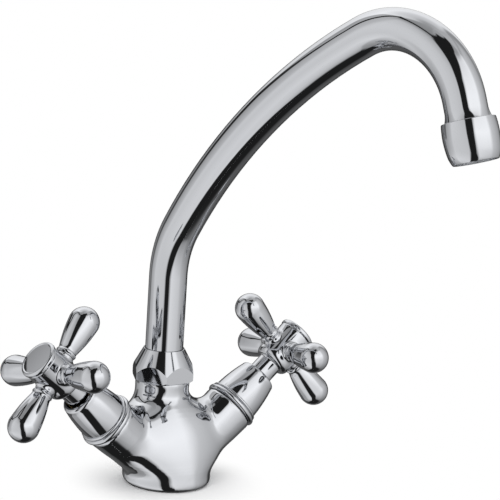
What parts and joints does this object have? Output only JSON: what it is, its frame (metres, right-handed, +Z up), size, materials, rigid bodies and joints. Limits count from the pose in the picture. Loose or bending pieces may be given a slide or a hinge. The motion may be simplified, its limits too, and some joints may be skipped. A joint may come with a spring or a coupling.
{
  "type": "kitchen mixer tap",
  "caption": "Deck-mounted kitchen mixer tap with a Y-shaped body, a tall swivelling bent-tube spout and cross-head handles on sloping branches.",
  "frame": {"origin": "centre of the round base where it rests on the deck", "axes": "+Z up out of the deck; +X towards the right-hand (cold) handle as the user sees it; the user stands at -Y, and the spout points that way, turned 12.5 degrees towards +X at rest"},
  "size_m": [0.1789, 0.2019, 0.2339],
  "materials": {
    "chrome": "polished",
    "brass": "machined",
    "steel": "bright",
    "ceramic": "lapped",
    "rubber": "matt",
    "nylon": "matt",
    "fibre": "matt",
    "insert_plastic": "matt"
  },
  "bodies": {
    "root": {"body": "chrome", "base_gasket": "rubber", "spout_nut": "chrome", "lower_slip_washer": "nylon", "upper_slip_washer": "nylon", "left_bonnet": "chrome", "left_fixed_disc": "ceramic", "left_seat_seal": "rubber", "left_valve_body": "brass", "left_valve_washer": "fibre", "right_bonnet": "chrome", "right_fixed_disc": "ceramic", "right_seat_seal": "rubber", "right_valve_body": "brass", "right_valve_washer": "fibre"},
    "spout": {"spout_tube": "chrome", "spout_tail": "brass", "spout_o_rings": "rubber", "aerator_housing": "chrome", "aerator_insert": "insert_plastic", "aerator_washer": "rubber"},
    "left_handle": {"left_handle_arms": "chrome", "left_handle_hub": "chrome", "left_handle_screw": "steel", "left_index_cap": "chrome", "left_spindle": "brass", "left_spindle_clip": "steel", "left_spindle_o_ring": "rubber", "left_turning_disc": "ceramic"},
    "right_handle": {"right_handle_arms": "chrome", "right_handle_hub": "chrome", "right_handle_screw": "steel", "right_index_cap": "chrome", "right_spindle": "brass", "right_spindle_clip": "steel", "right_spindle_o_ring": "rubber", "right_turning_disc": "ceramic"}
  },
  "joints": [
    {"name": "spout_swivel", "type": "hinge", "parent": "root", "child": "spout", "pos_m": [0, 0.0079, 0], "axis": [0, 0, 1], "continuous": true},
    {"name": "left_handle_turn", "type": "hinge", "parent": "root", "child": "left_handle", "pos_m": [0, 0, 0.00325], "axis": [-0.7581, 0, 0.6521], "range_deg": [0, 90]},
    {"name": "right_handle_turn", "type": "hinge", "parent": "root", "child": "right_handle", "pos_m": [0, 0, 0.00325], "axis": [0.7581, 0, 0.6521], "range_deg": [0, 90]}
  ]
}
